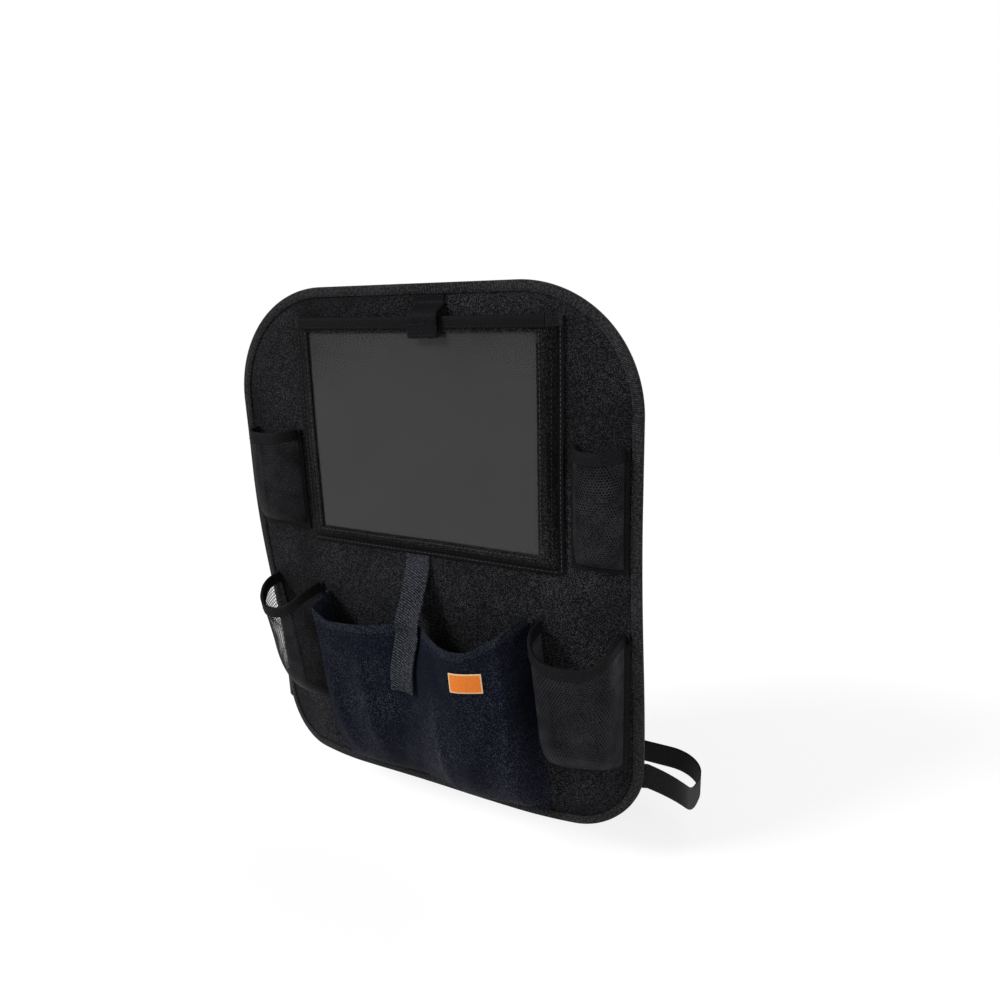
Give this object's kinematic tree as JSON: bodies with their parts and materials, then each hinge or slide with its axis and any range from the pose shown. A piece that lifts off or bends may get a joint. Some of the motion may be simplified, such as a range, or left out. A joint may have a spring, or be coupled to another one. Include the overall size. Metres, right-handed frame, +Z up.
{
  "type": "car seat back organizer",
  "caption": "Bound fabric panel strapped to a car seat's back, with a clear-fronted tablet pouch, mesh pockets at the sides and a wide fabric pocket below.",
  "frame": {"origin": "middle of the panel's back, where it lies on the seat", "axes": "+X to the right as seen by a rear passenger, +Y from the panel into the seat, +Z up"},
  "size_m": [0.4814, 0.2128, 0.515],
  "materials": {
    "panel_fabric": "matt black woven cloth with a fine pale fleck",
    "pocket_fabric": "matt blue-black woven cloth",
    "binding_tape": "black folded tape",
    "mesh_cloth": "black open mesh",
    "clear_film": "clear glossy touch film",
    "webbing": "black ribbed webbing",
    "touch_tape": "black hook and loop tape",
    "label_cloth": "orange woven label, bare",
    "buckle_plastic": "black moulded plastic"
  },
  "bodies": {
    "organizer": {"back_panel": "panel_fabric", "edge_binding": "binding_tape", "tablet_frame": "panel_fabric", "clear_window": "clear_film", "pouch_mouth_tape": "binding_tape", "pouch_tape_left": "binding_tape", "pouch_tape_right": "binding_tape", "pouch_tape_bottom": "binding_tape", "closure_tab": "webbing", "closure_hook_patch": "touch_tape", "closure_loop_patch": "touch_tape", "tissue_pocket_mesh": "mesh_cloth", "tissue_pocket_binding": "binding_tape", "pen_pocket_mesh": "mesh_cloth", "pen_pocket_binding": "binding_tape", "bottle_pocket_mesh": "mesh_cloth", "bottle_pocket_binding": "binding_tape", "wipes_pocket_mesh": "mesh_cloth", "wipes_pocket_binding": "binding_tape", "main_pocket": "pocket_fabric", "pocket_loop_patch": "touch_tape", "pocket_hook_patch": "touch_tape", "pocket_tab": "webbing", "label": "label_cloth", "headrest_strap_right": "webbing", "headrest_buckle_socket": "buckle_plastic", "seat_strap_right": "webbing", "seat_buckle_socket": "buckle_plastic"},
    "headrest_plug": {"headrest_buckle_plug": "buckle_plastic", "headrest_strap_left": "webbing"},
    "seat_plug": {"seat_buckle_plug": "buckle_plastic", "seat_strap_left": "webbing"}
  },
  "joints": [
    {"name": "headrest_buckle_pull", "type": "slide", "parent": "organizer", "child": "headrest_plug", "axis": [-1, 0, 0], "range_m": [0, 0.024], "deforming": ["headrest_buckle_plug", "headrest_strap_left"]},
    {"name": "seat_buckle_pull", "type": "slide", "parent": "organizer", "child": "seat_plug", "axis": [-1, 0, 0], "range_m": [0, 0.024], "deforming": ["seat_buckle_plug", "seat_strap_left"]}
  ]
}
